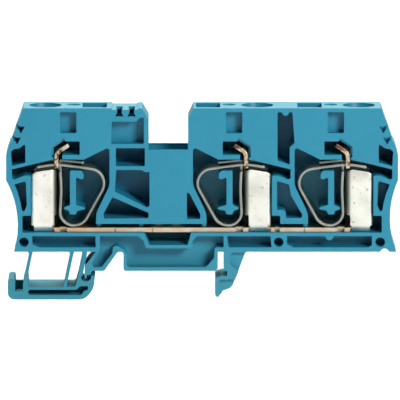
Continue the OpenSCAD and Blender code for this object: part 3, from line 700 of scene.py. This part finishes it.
def even_line(line, extra):
    """The line at steps of LINE_STEP, at its own points and at the extra distances, by interpolation along
    its length; a distance that is not LEAST_STEP past the one before it is left out."""
    lengths = lengths_along(line)
    steps = np.linspace(0, lengths[-1], int(lengths[-1] / LINE_STEP) + 1)
    steps = np.unique(np.concatenate([steps, lengths, extra]))
    steps = steps[np.diff(steps, prepend=-LINE_STEP) > LEAST_STEP]
    return steps, np.column_stack([np.interp(steps, lengths, values) for values in line.T])


def strip_mesh(name, steps, line, across, keep, place, finish):
    """Grid of points place(u, v, w): u and v run along the line, w across it. A cell stays where keep is
    true for its middle u, v and w. The UV map has the distance along the line and w, in metres."""
    rows, columns = len(steps), len(across)
    u, v = np.repeat(line, columns, axis=0).T
    w = np.tile(across, rows)
    points = place(u, v, w)
    corner = (np.arange(rows - 1)[:, None] * columns + np.arange(columns - 1)).ravel()
    cells = np.column_stack([corner, corner + 1, corner + columns + 1, corner + columns])
    cells = cells[keep(*[values[cells].mean(axis=1) for values in (u, v, w)])]
    used, renumbered = np.unique(cells, return_inverse=True)
    mesh = bpy.data.meshes.new(name)
    mesh.from_pydata(points[used].tolist(), [], renumbered.reshape(cells.shape).tolist())
    uv = np.column_stack([np.repeat(steps, columns), w])[used] * MM
    loop_points = np.zeros(len(mesh.loops), np.int32)
    mesh.loops.foreach_get("vertex_index", loop_points)
    mesh.uv_layers.new(name="strip").data.foreach_set("uv", uv[loop_points].ravel())
    mesh.materials.append(finish)
    mesh.polygons.foreach_set("use_smooth", np.ones(len(mesh.polygons), bool))
    return mesh


def finish_strip(piece, thickness):
    """Thickens the sheet evenly to both sides and rounds its edges."""
    wall = piece.modifiers.new("wall", "SOLIDIFY")
    wall.thickness = thickness * MM
    wall.offset = 0
    wall.use_even_offset = True
    round_edges(piece, STRIP_EDGE * MM, STRIP_SHARP_ANGLE)


print("strips have a point every", LINE_STEP, "mm or less")

# %% [markdown]
# ## Plan of a sleeve
# A sleeve is one tinned sheet, folded to a channel round the bare wire. Seen from above it starts at a
# lip beside the tongue, runs round the back, the outer side and the front, and ends at the second lip.
# It could be cut from a box, but a sheet along that line has round folds and one thickness all over.
# The lips start higher up than the walls, and there is a tab at the foot of each wall, so cells are
# left out below. Sizes are millimetres from the tongue outwards, from the middle of the bar through the
# block, and from the bar's underside up.

# %% Plan of a sleeve
SLEEVE_SPAN = {"left": (0.28, 6.3), "middle": (-0.13, 6.1), "right": (-0.13, 6.1)}
LIP_END, WALL_AT = 1.8, 4.4
LIP_FOLD, OUTER_FOLD = 1.0, 0.45
WALL_LOW, LIP_LOW = 1.75, 4.45
LIP_REACH = 0.7
TAB_SPAN = (0.95, 5.85)
ON_WALL, NEAR_WALL = 1e-6, 0.01


def fold_seen_from_above(lip, outer):
    """The folded sheet's middle line, from lip to lip: lip and outer are its places along X nearest to
    the tongue and furthest from it, and the second half mirrors the first."""
    half = [(lip, LIP_END, 0), (lip, WALL_AT, LIP_FOLD), (outer, WALL_AT, OUTER_FOLD)]
    return rounded_line(half + [(u, -v, radius) for u, v, radius in half[::-1]])


def wall_marks(fold_line):
    """Distances along the fold at which the back and front walls pass the lips' reach and the tabs' two
    ends, by interpolation along each wall."""
    lengths = lengths_along(fold_line)
    marks = []
    for wall in (WALL_AT, -WALL_AT):
        on_wall = np.flatnonzero(abs(fold_line[:, 1] - wall) < ON_WALL)
        outwards = on_wall[np.argsort(fold_line[on_wall, 0])]
        marks.append(np.interp([LIP_REACH, *TAB_SPAN], fold_line[outwards, 0], lengths[outwards]))
    return np.concatenate(marks)


def in_sheet(u, v, w):
    """True for the walls above their lower edge, the lips above theirs, and the tabs below both."""
    body = (w > WALL_LOW) & ((u > LIP_REACH) | (w > LIP_LOW))
    in_tab = (u > TAB_SPAN[0]) & (u < TAB_SPAN[1]) & (abs(v) > WALL_AT - NEAR_WALL)
    return body | (in_tab & (w < WALL_LOW))


for clamp, span in SLEEVE_SPAN.items():
    plan_length = lengths_along(fold_seen_from_above(*span))[-1]
    print(f"sheet round the {clamp} sleeve: {plan_length:.1f} mm")

# %% [markdown]
# ## Three folded sleeves
# The sleeve is the same kind of surface as a strip, with its plan as the line and the height across it.
# The roof line slopes down from the tongue, so heights above the lips' lower edge are scaled to it, and
# the tabs lean inwards. A sleeve's own box in the frame, and the way its spring moves, give its place
# and its side.

# %% Three folded sleeves
LIP_FROM_TONGUE = 0.25
SHEET_THICKNESS = 0.6
ROOF_TOP = 16.4
ROOF_CORNERS = [(-1.25, 15.55, 0), (1.2, ROOF_TOP, 0.8), (6.5, 15.55, 1.8), (6.5, 12.0, 0)]
TAB_LOW, TAB_LEAN = 0.35, 1.0
LOW_ROWS, HIGH_ROWS = 4, 13
bar_low, bar_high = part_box("current_bar")
bar_middle = (bar_low.y + bar_high.y) / 2
roof_line = rounded_line(ROOF_CORNERS)
low_heights = np.linspace(WALL_LOW, LIP_LOW, LOW_ROWS)
high_heights = np.linspace(LIP_LOW, ROOF_TOP, HIGH_ROWS)
sheet_heights = np.concatenate([[TAB_LOW], low_heights, high_heights[1:]])


def clamp_place(clamp):
    """The tongue's place along X, a little inside the sleeve's box, and the side that the sleeve lies on,
    from the joint's axis."""
    sleeve_low, sleeve_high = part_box("conductor_sleeve_" + clamp)
    joint = next(j for j in frame["joints"] if j["child"] == "clamp_" + clamp)
    side = math.copysign(1, joint["axis"][0])
    sleeve_start = sleeve_low.x if side > 0 else sleeve_high.x
    return sleeve_start + side * LIP_FROM_TONGUE * MM, side


def make_sleeve(clamp, finish):
    """A folded sheet: heights above the lips' lower edge are scaled to the roof line, and the tabs lean
    inwards by their share of the way down."""
    tongue, side = clamp_place(clamp)
    fold_line = fold_seen_from_above(*SLEEVE_SPAN[clamp])

    def place(u, v, w):
        """From the plan (towards the outer side, through the block) and a height to metres."""
        roof = np.interp(u, *roof_line.T)
        share = (roof - LIP_LOW) / (ROOF_TOP - LIP_LOW)
        height = np.where(w > LIP_LOW, LIP_LOW + (w - LIP_LOW) * share, w)
        lean = TAB_LEAN * np.clip((WALL_LOW - w) / (WALL_LOW - TAB_LOW), 0, 1) * np.sign(v)
        x = tongue + side * u * MM
        return np.column_stack([x, bar_middle + (v - lean) * MM, bar_low.z + height * MM])

    name = "folded_sleeve_" + clamp
    steps, line = even_line(fold_line, wall_marks(fold_line))
    sleeve = add_object(name, strip_mesh(name, steps, line, sheet_heights, in_sheet, place, finish))
    finish_strip(sleeve, SHEET_THICKNESS)
    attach(sleeve, "housing")
    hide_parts("conductor_sleeve_" + clamp)
    print(name, "with", len(sleeve.data.polygons), "cells")


sleeve_finishes = {"left": painted_bright_tin, "middle": tin, "right": tin}
for clamp, finish in sleeve_finishes.items():
    make_sleeve(clamp, finish)

# %% [markdown]
# ## Line of a clamp spring
# Each spring is one strip, bent like a teardrop: from the free tip over the top leg, round the loop,
# under the bottom bend, up the standing leg and back in a short hook. It is drawn as two lines that
# meet under the bottom bend, because only the loop moves. The tongue and the hook stand up through a
# window in the top leg, so the hook is narrower than the strip. Sizes are millimetres from the tongue
# towards the sleeve, and from the bar's underside up.

# %% Line of a clamp spring
TIP = (4.8, 17.2)
BOTTOM_SPLIT = (-5.22, 2.05)
UPRIGHT = -1.1
BOW = 0.4
LOOP_CORNERS = [(*TIP, 0), (0, 18, 14), (-14.75, 16.0, 3.8), (-7.15, 2.28, 3.6), (*BOTTOM_SPLIT, 0)]
STANDING_CORNERS = [
    (*BOTTOM_SPLIT, 0),
    (-3.54, 1.76, 3.6),
    (UPRIGHT, 3.95, 3.6),
    (UPRIGHT - BOW, 11.5, 30),
    (UPRIGHT, 18.75, 0.5),
    (-7.3, 18.1, 0),
]
STRIP_WIDTH = 8.8
STRIP_THICKNESS = 0.65
WINDOW_WIDTH = 6.8
WINDOW_SPAN = (-6.55, 4.2)
WINDOW_LEVEL = 16.8
HOOK_WIDTH = 5.6
HOOK_COLUMNS = 9
HOOK_START = 16.2
loop_line = rounded_line(LOOP_CORNERS)
standing_line = rounded_line(STANDING_CORNERS)
loop_lengths = lengths_along(loop_line)
top_leg = np.flatnonzero(loop_line[:, 1] > WINDOW_LEVEL)[::-1]
window_lengths = np.interp(WINDOW_SPAN, loop_line[top_leg, 0], loop_lengths[top_leg])
hook_columns = np.linspace(-1, 1, HOOK_COLUMNS) * HOOK_WIDTH / 2
outer_columns = np.array([WINDOW_WIDTH, STRIP_WIDTH]) / 2
strip_columns = np.sort(np.concatenate([hook_columns, outer_columns, -outer_columns]))
strip_length = loop_lengths[-1] + lengths_along(standing_line)[-1]
print("spring strip:", round(strip_length, 1), "x", STRIP_WIDTH, "x", STRIP_THICKNESS, "mm")

# %% [markdown]
# ## Three clamp springs
# A screwdriver pushes the top leg towards the sleeve, and the loop bends with it, while the standing
# leg and its hook stay put. So each spring is made as two pieces: the loop, and the standing leg, which
# rides on the housing. The left clamp is the mirror of the others, and its spring leans right against
# its tongue.

# %% Three clamp springs
SPRING_DROP = 0.22
SPRING_SHIFT = {"left": 0.24, "middle": 0.0, "right": 0.0}


def outside_window(u, v, w):
    """True for cells that are not in the top leg's window."""
    in_span = (u > WINDOW_SPAN[0]) & (u < WINDOW_SPAN[1]) & (v > WINDOW_LEVEL)
    return ~(in_span & (abs(w) < WINDOW_WIDTH / 2))


def within_hook(u, v, w):
    """True below the hook's start, and above it only across the narrow hook's width."""
    return (v < HOOK_START) | (abs(w) < HOOK_WIDTH / 2)


def spring_part(name, line, extra, keep, place):
    """A strip of spring steel along the line, still without its thickness."""
    steps, points = even_line(line, extra)
    part = add_object(name, strip_mesh(name, steps, points, strip_columns, keep, place, steel))
    return part


def make_spring(clamp, shift):
    """A loop and a standing leg, each a strip of spring steel given its thickness; the standing leg rides
    on the housing."""
    tongue, side = clamp_place(clamp)

    def place(u, v, w):
        """From millimetres at the clamp (towards the sleeve, up, through the block) to metres."""
        x = tongue + side * (u + shift) * MM
        return np.column_stack([x, bar_middle + w * MM, bar_low.z + (v - SPRING_DROP) * MM])

    loop = spring_part("spring_loop_" + clamp, loop_line, window_lengths, outside_window, place)
    leg = spring_part("spring_standing_leg_" + clamp, standing_line, [], within_hook, place)
    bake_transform(loop)
    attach(leg, "housing")
    for piece in (loop, leg):
        finish_strip(piece, STRIP_THICKNESS)
        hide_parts("clamp_spring_" + clamp)
    print(f"spring {clamp}: tongue at {tongue / MM:.2f} mm, {len(loop.data.polygons)} loop cells")


for clamp, shift in SPRING_SHIFT.items():
    make_spring(clamp, shift)
